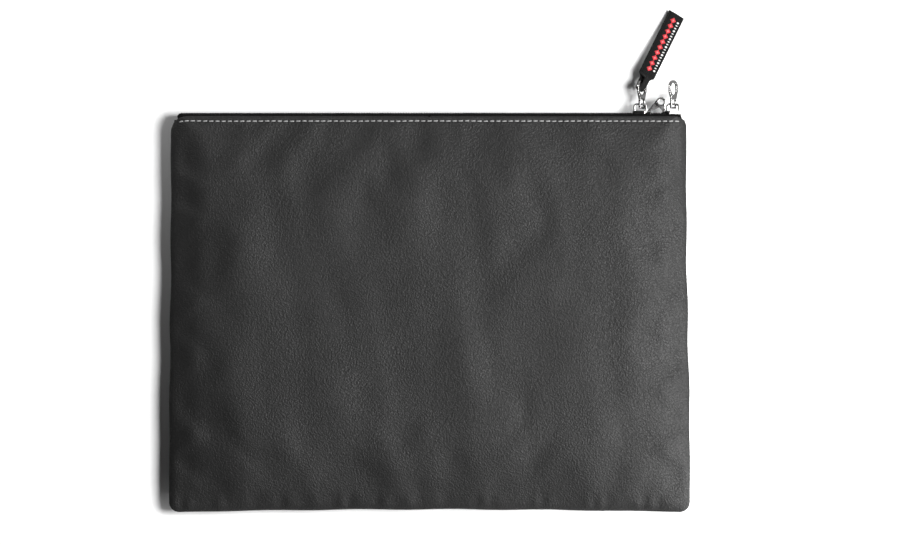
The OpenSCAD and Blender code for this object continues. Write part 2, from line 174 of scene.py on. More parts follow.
def fold_relief(px, py, side):
    """Soft folds, seam puckers and the sewn channel of one half, as extra height"""
    left, right = HALF_W + px, HALF_W - px
    below, above = py - SEAM_Y, FOLD_Y - py
    inside = smooth(np.minimum(np.minimum(left, right), below) / (14 * MM))
    calm_mouth = smooth((above - 3 * MM) / (26 * MM))
    lean = px + 0.12 * py
    folds = 1.15 * noise_field(lean / (34 * MM), py / (115 * MM), 3.1 * side)
    folds += 0.4 * noise_field(lean / (17 * MM), py / (60 * MM), 7.7 * side)
    dents = 0.5 * noise_field(px / (30 * MM), py / (30 * MM), 11.3 * side)
    ridge = 0.5 * bump(left - 19 * MM, 7 * MM) * smooth((py + 20 * MM) / (60 * MM))
    relief = 1.3 * (folds + dents + ridge) * inside * calm_mouth

    where = 0.5 + 0.5 * noise_field(px / (60 * MM), px * 0, 2.3)
    bottom_wave = np.sin(px / (2.2 * MM) + 4 * noise_field(px / (16 * MM), px * 0, 5.9))
    relief += 0.45 * bottom_wave * where * bump(below - 4.5 * MM, 4.5 * MM)
    for d, phase in ((left, 0.4), (right, 2.2)):
        ripple = np.sin(py / (5.6 * MM) + phase + 3 * noise_field(py / (40 * MM), py * 0, phase))
        scallop = bump(d - (11 + 3 * ripple) * MM, 6 * MM)
        relief += 0.8 * ripple * scallop * calm_mouth * smooth(below / (12 * MM))

    hole = 0.5 - 0.5 * np.cos(2 * pi * (px / STITCH_PITCH + 0.5))
    channel = (0.22 + 0.3 * hole ** 4) * bump(above - STITCH_IN, 0.55 * MM)
    puff = 0.2 * bump(above - (LEATHER_TOP + STITCH_IN) / 2, 1.2 * MM)
    along = smooth(np.minimum(left, right) / (9 * MM))
    return (relief * resting_share(px, py, side) + (puff - channel) * along) * MM


def resting_share(px, py, side):
    """1 where the fabric is free, falling to 0 where the back lies flat on the table"""
    if side == FRONT:
        return 1.0
    return smooth((HALF_T - pillow_height(px, py)) / (1.2 * MM))


def blur(field, passes):
    """Evens a grid out by repeated averaging with its neighbours. The border keeps its values."""
    field = field.copy()
    for _ in range(passes):
        field[1:-1] = (field[:-2] + 2 * field[1:-1] + field[2:]) / 4
        field[:, 1:-1] = (field[:, :-2] + 2 * field[:, 1:-1] + field[:, 2:]) / 4
    return field


class Half:
    """One half of the pouch: the grid of its outer skin, side 1 for the front and -1 for the back"""

    def __init__(self, side):
        self.side = side
        self.columns, self.rows = grid_lines()
        px, py = np.meshgrid(self.columns, self.rows)
        x, y = place_outline(px, py)
        self.skin = np.stack([x, y, np.maximum(pillow_height(px, py), HALF_GAP)], axis=-1)
        relief = fold_relief(px, py, side)
        relief += resting_share(px, py, side) * self.sewn_wrinkles()
        self.skin[..., 2] = np.clip(self.skin[..., 2] + relief, HALF_GAP, self.most_height())

    def most_height(self):
        """The table presses the back flat. The front is free."""
        return HALF_T if self.side == BACK else 2 * HALF_T

    def sewn_wrinkles(self):
        """Folds of a panel a little too big for its seams: cloth simulated on a coarse copy"""
        step, frames, cap = 4 * MM, 24, 0.75 * MM
        columns = np.linspace(-HALF_W, HALF_W, round(2 * HALF_W / step) + 1)
        rows = np.linspace(SEAM_Y, FOLD_Y, round((FOLD_Y - SEAM_Y) / step) + 1)
        start = self.below(self.at(*np.meshgrid(columns, rows)), 0)
        quads = grid_quads(len(rows), len(columns), self.side == BACK)
        panel = make_mesh("wrinkle_study", start.reshape(-1, 3), quads.tolist(), [])
        sewn = panel.vertex_groups.new(name="sewn")
        sewn.add([int(i) for i in border(len(rows), len(columns))], 1.0, "ADD")
        cloth = panel.modifiers.new("cloth", "CLOTH").settings
        cloth.quality = 6
        cloth.mass = 0.4
        cloth.tension_stiffness = cloth.compression_stiffness = 20
        cloth.shear_stiffness = 8
        cloth.bending_stiffness = 4
        cloth.vertex_group_mass = "sewn"
        cloth.shrink_min = -0.012
        cloth.use_pressure = True
        cloth.uniform_pressure_force = 0.6
        cloth.effector_weights.gravity = 0
        for number in range(1, frames + 1):
            bpy.context.scene.frame_set(number)
        evaluated = panel.evaluated_get(bpy.context.evaluated_depsgraph_get())
        moved = np.array([v.co.z for v in evaluated.data.vertices]).reshape(start.shape[:2])
        bpy.data.objects.remove(panel)
        bpy.context.scene.frame_set(1)
        share = 0.6
        rise = self.side * (moved - start[..., 2])
        swell = blur(rise, 40)
        wrinkles = cap * np.tanh(share * (rise - swell) / cap)
        across = np.array([np.interp(self.columns, columns, row) for row in wrinkles])
        fine = np.array([np.interp(self.rows, rows, column) for column in across.T]).T
        return blur(fine, 5)

    def at(self, px, py):
        """Point of the outer skin over any pattern coordinates"""
        i = np.clip(np.searchsorted(self.columns, px) - 1, 0, len(self.columns) - 2)
        j = np.clip(np.searchsorted(self.rows, py) - 1, 0, len(self.rows) - 2)
        u = ((px - self.columns[i]) / (self.columns[i + 1] - self.columns[i]))[..., None]
        v = ((py - self.rows[j]) / (self.rows[j + 1] - self.rows[j]))[..., None]
        low = self.skin[j, i] * (1 - u) + self.skin[j, i + 1] * u
        high = self.skin[j + 1, i] * (1 - u) + self.skin[j + 1, i + 1] * u
        return low * (1 - v) + high * v

    def below(self, skin, off):
        """World points that lie off below points of the outer skin"""
        x, y, h = skin[..., 0], skin[..., 1], skin[..., 2]
        sunk = h - off * np.clip(h / HALF_MOUTH, 0, 1)
        pulled = off * (FOLD_Y - y) / (FOLD_Y - SEAM_Y)
        return np.stack([x * (1 - off / HALF_W), y + pulled, MID_Z + self.side * sunk], axis=-1)


# ---------------------------------------------------------------- meshes
def link(name, data):
    piece = bpy.data.objects.new(name, data)
    bpy.context.scene.collection.objects.link(piece)
    return piece


def make_mesh(name, points, faces, materials, face_material=None):
    """Smooth-shaded mesh piece from points and faces"""
    mesh = bpy.data.meshes.new(name)
    mesh.from_pydata([tuple(p) for p in points], [], faces)
    for material in materials:
        mesh.materials.append(material)
    if face_material is not None:
        mesh.polygons.foreach_set("material_index", face_material)
    mesh.polygons.foreach_set("use_smooth", [True] * len(faces))
    mesh.validate()
    mesh.update()
    return link(name, mesh)


def grid_quads(rows, columns, flip):
    j, i = np.mgrid[0 : rows - 1, 0 : columns - 1]
    a = (j * columns + i).ravel()
    quads = np.stack([a, a + 1, a + columns + 1, a + columns], axis=1)
    return quads[:, ::-1] if flip else quads


def border(rows, columns):
    """Indices of a grid's border, once round"""
    index = np.arange(rows * columns).reshape(rows, columns)
    return np.concatenate([index[0, :-1], index[:-1, -1], index[-1, :0:-1], index[:0:-1, 0]])


def shell(name, outer, inner, rim, material, flip):
    """Closed sheet between two grids. rim gives how far its edge bulges at each grid point."""
    rows, columns = outer.shape[:2]
    count = rows * columns
    loop = border(rows, columns)
    out_loop, in_loop = outer.reshape(-1, 3)[loop], inner.reshape(-1, 3)[loop]
    bulge = rim.reshape(-1, 3)[loop]
    steps = 3
    rings = [
        out_loop + (in_loop - out_loop) * (0.5 - 0.5 * cos(pi * k / (steps + 1)))
        + bulge * sin(pi * k / (steps + 1))
        for k in range(1, steps + 1)
    ]
    points = np.concatenate([outer.reshape(-1, 3), inner.reshape(-1, 3)] + rings)
    levels = [loop] + [2 * count + k * len(loop) + np.arange(len(loop)) for k in range(steps)]
    levels.append(count + loop)
    faces = [grid_quads(rows, columns, flip), grid_quads(rows, columns, not flip) + count]
    for a, b in zip(levels, levels[1:]):
        strip = np.stack([a, b, np.roll(b, -1), np.roll(a, -1)], axis=1)
        faces.append(strip[:, ::-1] if flip else strip)
    return make_mesh(name, points, np.concatenate(faces).tolist(), [material])


def grid_normals(points, side):
    along = np.gradient(points, axis=1)
    up = np.gradient(points, axis=0)
    normal = np.cross(along, up)
    normal *= side
    return normal / np.maximum(np.linalg.norm(normal, axis=-1, keepdims=True), 1e-12)


def match_cut_normals(piece, outer_cut, inner_cut):
    """Shades the cut at x = 0 as if both halves were one sheet"""
    mesh = piece.data
    normals = np.zeros(len(mesh.vertices) * 3)
    mesh.vertex_normals.foreach_get("vector", normals)
    normals = normals.reshape(-1, 3)
    for column, values in (outer_cut, inner_cut):
        normals[column] = values
    co = np.zeros(len(mesh.vertices) * 3)
    mesh.vertices.foreach_get("co", co)
    on_cut = np.abs(co.reshape(-1, 3)[:, 0]) < 1e-7
    rest = on_cut.copy()
    rest[outer_cut[0]] = False
    rest[inner_cut[0]] = False
    normals[rest, 0] = 0
    mesh.normals_split_custom_set_from_vertices(normals.tolist())


def sheet(name, half, outer, inner, rim, material):
    """A soft layer. The front one is cut at x = 0 into a left and a right piece."""
    flip = half.side == BACK
    if half.side == BACK:
        piece = shell(name, outer, inner, rim, material, flip)
        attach(piece, "pouch_body")
        return [piece]
    middle = int(np.argmin(np.abs(outer[0, :, 0])))
    rows = outer.shape[0]
    normals_out, normals_in = grid_normals(outer, 1), grid_normals(inner, -1)
    pieces = []
    for label, cut in (("left", slice(0, middle + 1)), ("right", slice(middle, None))):
        part_rim = rim[:, cut].copy()
        edge = -1 if label == "left" else 0
        part_rim[:, edge] = 0
        piece = shell(f"{name}_{label}", outer[:, cut], inner[:, cut], part_rim, material, flip)
        width = outer[:, cut].shape[1]
        column = np.arange(rows) * width + (width - 1 if label == "left" else 0)
        count = rows * width
        match_cut_normals(
            piece,
            (column, normals_out[:, middle]),
            (column + count, normals_in[:, middle]),
        )
        bend_open(piece)
        pieces.append(piece)
    return pieces


def bend_open(piece):
    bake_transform(piece)


def sweep(points, radius, sides, up, first=0):
    """Points and faces of a round bar along a path. up is a direction never along the path."""
    tangent = np.gradient(points, axis=0)
    tangent /= np.linalg.norm(tangent, axis=1, keepdims=True)
    up = np.asarray(up, float)
    across = np.cross(tangent, up)
    across /= np.linalg.norm(across, axis=1, keepdims=True)
    lift = np.cross(across, tangent)
    angle = np.arange(sides) * 2 * pi / sides
    turned_across = across[:, None] * np.cos(angle)[None, :, None]
    turned_lift = lift[:, None] * np.sin(angle)[None, :, None]
    body = points[:, None] + (turned_across + turned_lift) * radius
    faces = []
    for k in range(len(points) - 1):
        for i in range(sides):
            a, b = first + k * sides + i, first + k * sides + (i + 1) % sides
            faces.append((a, a + sides, b + sides, b))
    faces.append(tuple(first + i for i in range(sides)))
    faces.append(tuple(first + (len(points) - 1) * sides + i for i in range(sides))[::-1])
    return body.reshape(-1, 3), faces


def merged_sweeps(name, paths, radius, sides, up, material):
    """One piece made of many separate bars"""
    points, faces = [], []
    for path in paths:
        body, more = sweep(path, radius, sides, up, first=sum(len(p) for p in points))
        points.append(body)
        faces += more
    return make_mesh(name, np.concatenate(points), faces, [material])


# ---------------------------------------------------------------- materials
def new_material(name):
    material = bpy.data.materials.new(name)
    material.use_nodes = True
    tree = material.node_tree
    return material, tree, tree.nodes["Principled BSDF"]


def add(tree, kind, inputs=None, **settings):
    """New node. An input is a value or another node's output."""
    node = tree.nodes.new(kind)
    for key, value in settings.items():
        setattr(node, key, value)
    wire(tree, node, inputs or {})
    return node


def wire(tree, node, inputs):
    for key, value in inputs.items():
        if isinstance(value, bpy.types.NodeSocket):
            tree.links.new(value, node.inputs[key])
        else:
            node.inputs[key].default_value = value


def place(tree, scale=(1, 1, 1), turn=(0, 0, 0)):
    """Object coordinates, scaled, for textures that must not slide between pieces"""
    coordinates = add(tree, "ShaderNodeTexCoord")
    inputs = {"Vector": coordinates.outputs["Object"], "Scale": scale, "Rotation": turn}
    return add(tree, "ShaderNodeMapping", inputs).outputs[0]


def noise_texture(tree, vector, scale, detail=3.0):
    inputs = {"Vector": vector, "Scale": scale, "Detail": detail, "Roughness": 0.55}
    return add(tree, "ShaderNodeTexNoise", inputs).outputs["Fac"]


def math_node(tree, operation, a, b=0.0):
    return add(tree, "ShaderNodeMath", {0: a, 1: b}, operation=operation).outputs[0]


def remap(tree, value, lo, hi, to_lo, to_hi):
    inputs = {"Value": value, "From Min": lo, "From Max": hi, "To Min": to_lo, "To Max": to_hi}
    return add(tree, "ShaderNodeMapRange", inputs).outputs[0]


def mix_color(tree, share, a, b):
    node = add(tree, "ShaderNodeMix", data_type="RGBA")
    wire(tree, node, {0: share, 6: a, 7: b})
    return node.outputs[2]


def grey(value, tint=0.0):
    return (value, value * (1 - tint), value * (1 - 2 * tint), 1)


def bump_node(tree, height, distance, strength=1.0, normal=None):
    inputs = {"Height": height, "Distance": distance, "Strength": strength}
    if normal is not None:
        inputs["Normal"] = normal
    return add(tree, "ShaderNodeBump", inputs).outputs[0]


def leatherette():
    """Dark grey coated fabric with a fine pebble grain, and painted shade that darkens the grain's
    low spots
    """
    material, tree, surface = new_material("leatherette")
    where = place(tree)
    warp = add(tree, "ShaderNodeTexNoise", {"Vector": where, "Scale": 700.0, "Detail": 2.0})
    bent = add(tree, "ShaderNodeMix", {0: 0.0006}, data_type="VECTOR")
    wire(tree, bent, {4: where, 5: warp.outputs["Color"]})
    pebble = add(tree, "ShaderNodeTexVoronoi", {"Vector": bent.outputs[1], "Scale": 1050.0},
                 feature="SMOOTH_F1")
    crease = add(tree, "ShaderNodeTexVoronoi", {"Vector": bent.outputs[1], "Scale": 640.0},
                 feature="DISTANCE_TO_EDGE")
    grain = remap(tree, pebble.outputs["Distance"], 0.1, 0.65, 1, 0)
    valley = remap(tree, crease.outputs["Distance"], 0.0, 0.12, 0, 1)
    fine = noise_texture(tree, where, 2600.0, 2.0)
    height = math_node(tree, "ADD", math_node(tree, "MULTIPLY", valley, 0.35),
                       math_node(tree, "MULTIPLY", grain, 0.7))
    height = math_node(tree, "ADD", height, math_node(tree, "MULTIPLY", fine, 0.35))
    cloud = noise_texture(tree, where, 22.0, 4.0)
    speck = noise_texture(tree, where, 900.0, 3.0)
    tone = math_node(tree, "ADD", remap(tree, cloud, 0.3, 0.7, 0, 0.45),
                     remap(tree, speck, 0.3, 0.7, 0, 0.55))
    color = mix_color(tree, tone, grey(0.009), grey(0.022, 0.01))
    # painted shade: the grain's low spots are coloured darker
    color = mix_color(tree, remap(tree, height, 0.5, 1.3, 0.6, 0.0), color, grey(0.006))
    rough = remap(tree, height, 0.4, 1.2, 0.62, 0.4)
    wire(tree, surface, {
        "Base Color": color,
        "Roughness": rough,
        "Specular IOR Level": 0.24,
        "Sheen Weight": 0.03,
        "Sheen Roughness": 0.5,
        "Normal": bump_node(tree, height, 0.2 * MM),
    })
    return material


def woven(name, dark, light, pitch, roughness=0.85, sheen=0.2):
    """Plain weave, pitch apart, that needs no UVs"""
    material, tree, surface = new_material(name)
    waves = []
    for axis in (0, 1):
        turn = (0, 0, radians(90 * axis))
        vector = place(tree, turn=turn)
        inputs = {"Vector": vector, "Scale": 1 / (pitch * 3.2), "Distortion": 0.6, "Detail": 1.0,
                  "Detail Scale": 2.0}
        waves.append(add(tree, "ShaderNodeTexWave", inputs, bands_direction="X").outputs["Fac"])
    checks = add(tree, "ShaderNodeTexChecker", {"Vector": place(tree), "Scale": 1 / pitch})
    weave = add(tree, "ShaderNodeMix", {0: checks.outputs["Fac"], 2: waves[0], 3: waves[1]})
    fibre = noise_texture(tree, place(tree), 3000.0)
    height = math_node(tree, "ADD", weave.outputs[0], math_node(tree, "MULTIPLY", fibre, 0.5))
    color = mix_color(tree, remap(tree, height, 0.2, 1.3, 0, 1), dark, light)
    wire(tree, surface, {
        "Base Color": color,
        "Roughness": roughness,
        "Specular IOR Level": 0.1,
        "Sheen Weight": sheen,
        "Normal": bump_node(tree, height, pitch * 0.25),
    })
    return material


def shade_lining_corners(material):
    """Painted shade over the lining's top corners, where the ends of the zip are sewn down: there
    the lining is coloured near black
    """
    reach, depth = 14 * MM, 16 * MM
    tree = material.node_tree
    surface = tree.nodes["Principled BSDF"]
    axes = add(tree, "ShaderNodeSeparateXYZ", {0: place(tree)}).outputs
    beside = math_node(tree, "GREATER_THAN", math_node(tree, "ABSOLUTE", axes[0]), HALF_W - reach)
    on_top = math_node(tree, "GREATER_THAN", axes[1], FOLD_Y - depth)
    cloth_color = surface.inputs["Base Color"].links[0].from_socket
    # painted shade: near black inside the top corners
    corner_shade = math_node(tree, "MULTIPLY", beside, on_top)
    wire(tree, surface, {"Base Color": mix_color(tree, corner_shade, cloth_color, grey(0.003))})


def felt():
    """Needled felt: matted fibres with faint needle marks"""
    material, tree, surface = new_material("felt")
    fibres = noise_texture(tree, place(tree, (1, 3.5, 1)), 900.0, 6.0)
    clumps = noise_texture(tree, place(tree), 120.0, 4.0)
    color = mix_color(tree, clumps, (0.5, 0.48, 0.4, 1), (0.72, 0.7, 0.62, 1))
    height = math_node(tree, "ADD", fibres, clumps)
    wire(tree, surface, {
        "Base Color": color,
        "Roughness": 0.95,
        "Sheen Weight": 0.4,
        "Normal": bump_node(tree, height, 0.3 * MM),
    })
    return material


def thread(name, dark, light, sheen=0.3):
    """Bonded thread: twisted plies with a slight gloss"""
    material, tree, surface = new_material(name)
    twist = add(tree, "ShaderNodeTexWave",
                {"Vector": place(tree, turn=(0, 0, radians(35))), "Scale": 900.0, "Distortion": 0.5})
    fuzz = noise_texture(tree, place(tree), 4000.0)
    color = mix_color(tree, math_node(tree, "MULTIPLY", twist.outputs["Fac"], fuzz), dark, light)
    wire(tree, surface, {
        "Base Color": color,
        "Roughness": 0.55,
        "Specular IOR Level": sheen,
        "Sheen Weight": sheen,
        "Normal": bump_node(tree, twist.outputs["Fac"], 0.08 * MM),
    })
    return material


def nylon():
    """Black nylon monofilament with drawing marks"""
    material, tree, surface = new_material("nylon")
    marks = noise_texture(tree, place(tree, (1, 8, 8)), 800.0)
    wire(tree, surface, {
        "Base Color": mix_color(tree, marks, grey(0.002), grey(0.007)),
        "Roughness": remap(tree, marks, 0.3, 0.7, 0.45, 0.6),
        "Specular IOR Level": 0.12,
        "Normal": bump_node(tree, marks, 0.03 * MM),
    })
    return material


def plated(name, tint, rough):
    """Nickel-plated zinc: polished, with fine scratches and smears, and a painted highlight on its
    convex edges
    """
    material, tree, surface = new_material(name)
    scratches = noise_texture(tree, place(tree, (6, 1, 1), (0.3, 0.2, 0.5)), 1500.0, 4.0)
    smears = noise_texture(tree, place(tree), 260.0, 3.0)
    convexity = add(tree, "ShaderNodeNewGeometry").outputs["Pointiness"]
    edge = remap(tree, convexity, 0.5, 0.58, 0, 1)
    shade = mix_color(tree, smears, grey(tint * 0.84, 0.01), grey(tint))
    # painted highlight: convex edges are coloured a little lighter
    color = mix_color(tree, edge, shade, grey(min(1, tint * 1.12)))
    roughness = math_node(tree, "ADD", remap(tree, smears, 0.35, 0.7, rough, rough + 0.1),
                          remap(tree, scratches, 0.55, 0.8, 0, 0.1))
    wire(tree, surface, {
        "Base Color": color,
        "Metallic": 1.0,
        "Roughness": roughness,
        "Normal": bump_node(tree, scratches, 0.012 * MM),
    })
    return material


# ---------------------------------------------------------------- soft layers
def rim_bulge(outer, side, mouth, seam):
    """Edge rounding of a layer: outwards along the mouth, towards the middle plane at the seams"""
    rise = np.abs(outer[..., 2] - MID_Z)
    open_share = smooth(rise / HALF_MOUTH)[..., None]
    out = np.array([0, mouth, 0])
    to_middle = np.array([0, 0, -side * seam])
    rim = open_share * out + (1 - open_share) * to_middle
    rim[:-1] = to_middle
    return rim


def build_layer(name, half, off, thickness, down, material, mouth_round, relief=None):
    """One layer of a half, off below the skin, thickness thick, ending down below the fold"""
    keep = half.rows <= FOLD_Y - down + 1e-9
    skin = half.skin[keep].copy()
    if relief is not None:
        skin[..., 2] += relief(skin)
    outer = half.below(skin, off)
    inner = half.below(skin, off + thickness)
    rim = rim_bulge(outer, half.side, mouth_round, 0.7 * HALF_GAP)
    return sheet(name, half, outer, inner, rim, material)


def pieces_stand_for(pieces, node):
    for piece in pieces:
        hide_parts(node)


def lining_wrinkles(skin):
    """Loose lining: extra creases, always inwards"""
    x, y = skin[..., 0], skin[..., 1]
    creases = noise_field((x + 0.5 * y) / (13 * MM), y / (34 * MM), 1.7)
    room = smooth(skin[..., 2] / HALF_MOUTH - 0.6)
    return -0.9 * MM * np.abs(creases) * room


def build_soft_layers(halves, materials):
    for word, half in halves.items():
        layers = {
            "panel": (0, LEATHER_T, LEATHER_TOP, "leather", 0.55 * MM, None),
            "padding": (PADDING_OFF, PADDING_T, PADDING_TOP, "padding", 0.5 * MM, None),
            "lining": (LINING_OFF, LINING_T, LINING_TOP, "lining", 0.15 * MM, lining_wrinkles),
        }
        for layer, (off, thickness, down, slot, mouth_round, relief) in layers.items():
            node = f"{word}_{layer}"
            pieces = build_layer(f"{node}_soft", half, off, thickness, down, materials[slot],
                                 mouth_round, relief)
            pieces_stand_for(pieces, node)


# ---------------------------------------------------------------- zip
COIL_PITCH = 1.5 * MM
WIRE_R = 0.31 * MM
HEAD_PAST = 0.3 * MM           # how far the coil heads reach past the middle of the chain
HEAD_SPREAD, HEEL_SPREAD, CORD_SPREAD = 1.1 * MM, 0.95 * MM, 1.0 * MM
COIL_END = COIL_HI.x
STOP_SINK = 4.2 * MM           # how far the end stops sit below the chain, inside the corners
STOP_HALF_Y, STOP_HALF_Z = 1.0 * MM, 1.3 * MM


def chain_dive(x):
    """How far the ends of the chain turn down into the corners"""
    left_from, left_ease = 142.6 * MM, 4.3 * MM
    right_from, right_ease = 143.4 * MM, 2.2 * MM
    left = np.maximum(-x - left_from, 0) ** 2 / left_ease
    right = np.maximum(x - right_from, 0) ** 2 / right_ease
    return left + right


def chain_spread(x):
    """Share by which the coils stand apart: wholly between the noses of the parked sliders"""
    run, inside = 3 * MM, 5.5 * MM
    left = smooth((x - LEFT_SLIDER_END + inside) / run)
    right = smooth((RIGHT_SLIDER_END + inside - x) / run)
    return left * right


def build_zip(halves, materials):
    for word, half in halves.items():
        build_tape(word, half, materials["zip_tape"])
        build_coil(word, half, materials["coil"])
        build_cord(word, half, materials["cord"])


def build_tape(word, half, material):
    """Tape from the coil's heel to the fold, then down behind the leather as a hem"""
    bend, lap, least_hem, hem_run = 0.9 * MM, 0.35 * MM, 0.3 * MM, 14 * MM
    flat_y = CHAIN_Y - lap
    columns = half.columns[np.abs(half.columns) < COIL_END]
    depth = least_hem + TAPE_HEM * smooth((COIL_END + 1 * MM - np.abs(columns)) / hem_run)
    flat_from = COIL_HI.z - MID_Z - lap
    hem_top = half.at(columns, columns * 0 + flat_y - bend)[:, 2] - TAPE_OFF
    center, normal = [], []
    for t in np.linspace(0, 1, 4)[:-1]:
        z = flat_from + (hem_top - bend - flat_from) * t
        center.append(np.stack([columns, columns * 0 + flat_y, z], axis=1))
        normal.append((1.0, 0.0))
    for angle in np.linspace(0, pi / 2, 5):
        y = flat_y - bend * (1 - cos(angle))
        z = hem_top - bend * (1 - sin(angle))
        center.append(np.stack([columns, columns * 0 + y, z], axis=1))
        normal.append((cos(angle), sin(angle)))
    for t in np.linspace(0, 1, 14)[1:]:
        y = flat_y - bend - (depth - bend) * t
        skin = half.at(columns, np.minimum(y, flat_y - bend))
        center.append(np.stack([columns, y, skin[:, 2] - TAPE_OFF], axis=1))
        normal.append((0.0, 1.0))
    center = np.array(center)[::-1]
    center[..., 1] -= chain_dive(center[..., 0])
    direction = np.array([(0, a, b) for a, b in normal])[::-1, None]
    outer = center + direction * TAPE_T / 2
    inner = center - direction * TAPE_T / 2
    for grid in (outer, inner):
        grid[..., 2] = MID_Z + half.side * grid[..., 2]
    rim = np.zeros_like(outer)
    pieces = sheet(f"{word}_zip_tape_woven", half, outer, inner, rim, material)
    pieces_stand_for(pieces, f"{word}_zip_tape")


def squared(wave, power):
    """A sine wave made squarer, so that a circle becomes a rounded box"""
    return np.sign(wave) * np.abs(wave) ** power


def coil_loop(x, half_z_in, half_z_out, angle, side):
    """Point of the flattened helix: heads towards the middle of the chain, heels at the tape"""
    half_y = (COIL_HI.y - COIL_LO.y) / 2 - WIRE_R
    z_mid, z_half = (half_z_out + half_z_in) / 2, (half_z_out - half_z_in) / 2
    y = CHAIN_Y + half_y * squared(np.sin(angle), 0.8)
    z = z_mid - z_half * squared(np.cos(angle), 0.65)
    return np.stack([x, y, MID_Z + side * z], axis=1)


def build_coil(word, half, material):
    per_turn = 14
    shift = COIL_PITCH / 2 if half.side == FRONT else 0
    turns = int((2 * COIL_END - COIL_PITCH) / COIL_PITCH)
    start = -turns * COIL_PITCH / 2 + shift - COIL_PITCH / 4
    middle = round(-start / COIL_PITCH) * per_turn
    t = np.arange(turns * per_turn + 1) / per_turn
    x = start + COIL_PITCH * t
    apart = chain_spread(x)
    head = WIRE_R - HEAD_PAST + HEAD_SPREAD * apart
    heel = COIL_HI.z - MID_Z - WIRE_R + HEEL_SPREAD * apart
    path = coil_loop(x, head, heel, 2 * pi * t, half.side)
    path[:, 1] -= chain_dive(x)
    for label, run in split_runs(half.side, middle, len(path)):
        name = f"{word}_coil_wound{label}"
        piece = merged_sweeps(name, [path[run]], WIRE_R, 7, (1, 0, 0), material)
        finish_zip_piece(piece, half.side, f"{word}_coil")


def split_runs(side, middle, length):
    """The front half's parts are in two runs that meet at the middle of the zip"""
    if side == BACK:
        return [("", slice(0, length))]
    return [("_left", slice(0, middle + 1)), ("_right", slice(middle, length))]


def finish_zip_piece(piece, side, node):
    if side == BACK:
        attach(piece, "pouch_body")
    else:
        bend_open(piece)
    pieces_stand_for([piece], node)


def build_cord(word, half, material):
    """Filler cord inside the coil: three strands twisted together"""
    lo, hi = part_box(f"{word}_coil_cord")
    step, lay, strand_count = 0.7 * MM, 2.4 * MM, 3
    count = 2 * int((hi.x - COIL_PITCH) / step)
    x = (np.arange(count + 1) - count / 2) * step
    z = (lo.z + hi.z) / 2 + half.side * CORD_SPREAD * chain_spread(x)
    strand_r = (hi.y - lo.y) / 4.4
    for label, run in split_runs(half.side, count // 2, count + 1):
        strands = []
        for k in range(strand_count):
            angle = 2 * pi * (x / lay + k / strand_count)
            y = CHAIN_Y + strand_r * np.sin(angle) - chain_dive(x)
            strands.append(np.stack([x, y, z + strand_r * np.cos(angle)], axis=1)[run])
        name = f"{word}_coil_cord_twisted{label}"
        piece = merged_sweeps(name, strands, strand_r, 6, (0, 0, 1), material)
        finish_zip_piece(piece, half.side, f"{word}_coil_cord")


# ---------------------------------------------------------------- thread
def stitch_path(half, x, wander):
    """One stitch on the skin, its ends pulled down into their holes"""
    slant, beside, lift, sink = 0.05 * MM, 1.2 * MM, 0.04 * MM, 0.75 * MM
    along = np.linspace(-1, 1, 11)
    px = x + along * STITCH_L / 2
    py = FOLD_Y - STITCH_IN + wander + along * slant
    rest = (half.at(px, py + beside) + half.at(px, py - beside)) / 2
    h = rest[:, 2] + lift - sink * np.abs(along) ** 5
    return np.stack([rest[:, 0], rest[:, 1], MID_Z + half.side * h], axis=1)


def build_topstitch(halves, material):
    count = int((HALF_W - STITCH_MARGIN) / STITCH_PITCH)
    for word, half in halves.items():
        numbers = range(-count, count + 1)
        wander = {i: 0.16 * MM * noise.noise((i * 0.35, half.side, 0.5)) for i in numbers}
        groups = {"": numbers}
        if half.side == FRONT:
            groups = {"_left": range(-count, 0), "_right": range(0, count + 1)}
        for label, run in groups.items():
            paths = [stitch_path(half, i * STITCH_PITCH, wander[i]) for i in run]
            name = f"{word}_topstitch_thread{label}"
            piece = merged_sweeps(name, paths, THREAD_D / 2, 8, (0, 0, 1), material)
            finish_zip_piece(piece, half.side, f"{word}_topstitch")


def build_seam_thread(material):
    """Stitches of the turned seam, hidden between the two halves along three edges"""
    radius = 0.5 * HALF_GAP
    side_count = int((FOLD_Y - SEAM_Y - TOP_LEFT_R - 3 * BOTTOM_R) / STITCH_PITCH)
    bottom_count = int((HALF_W - 2 * BOTTOM_R) / STITCH_PITCH)
    count = 7
    along = np.linspace(-0.5, 0.5, count) * STITCH_L
    sag = -0.3 * radius * np.cos(along / STITCH_L * 2 * pi)
    sides, bottom = [], []
    for i in range(side_count + 1):
        py = SEAM_Y + 2 * BOTTOM_R + i * STITCH_PITCH + along
        for side in (-1, 1):
            x, y = place_outline(np.full(count, side * HALF_W), py)
            sides.append(np.stack([x - side * SEAM_IN, y, MID_Z + sag], axis=1))
    for i in range(-bottom_count, bottom_count + 1):
        x, y = place_outline(i * STITCH_PITCH + along, np.full(count, SEAM_Y))
        bottom.append(np.stack([x, y + SEAM_IN, MID_Z + sag], axis=1))
    piece = merged_sweeps("edge_seam_stitches", sides + bottom, radius, 6, (0, 0, 1), material)
    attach(piece, "pouch_body")
    pieces_stand_for([piece], "edge_seam_thread")


# ---------------------------------------------------------------- tag
TAG_LEAN, TAG_DROOP, TAG_PINCH = radians(-26.5), radians(-8.4), radians(45)
TAG_END, TAG_END_SKEW = 44.4 * MM, 0.5 * MM
TAG_HALF_W = 4.7 * MM
LAYER_T = 0.8 * MM
LOOP_R = 1.85 * MM             # radius of the loop's middle line round the ring
LOOP_DEPTH = 3.4 * MM
PINCH_HALF_W = 1.9 * MM
OPEN_FROM, OPEN_TO = 1.9 * MM, 4.4 * MM
TAG_FRAME = (Matrix.Translation(TAG_ORIGIN) @ Matrix.Rotation(TAG_LEAN, 4, "Z")
             @ Matrix.Rotation(TAG_DROOP, 4, "X"))


def tag_points(x, t, n):
    """World points from tag coordinates: across the tag, along it, and out of its face"""
    local = np.stack([x, t, n, np.ones_like(x)], axis=-1)
    return (local @ np.array(TAG_FRAME).T)[..., :3]


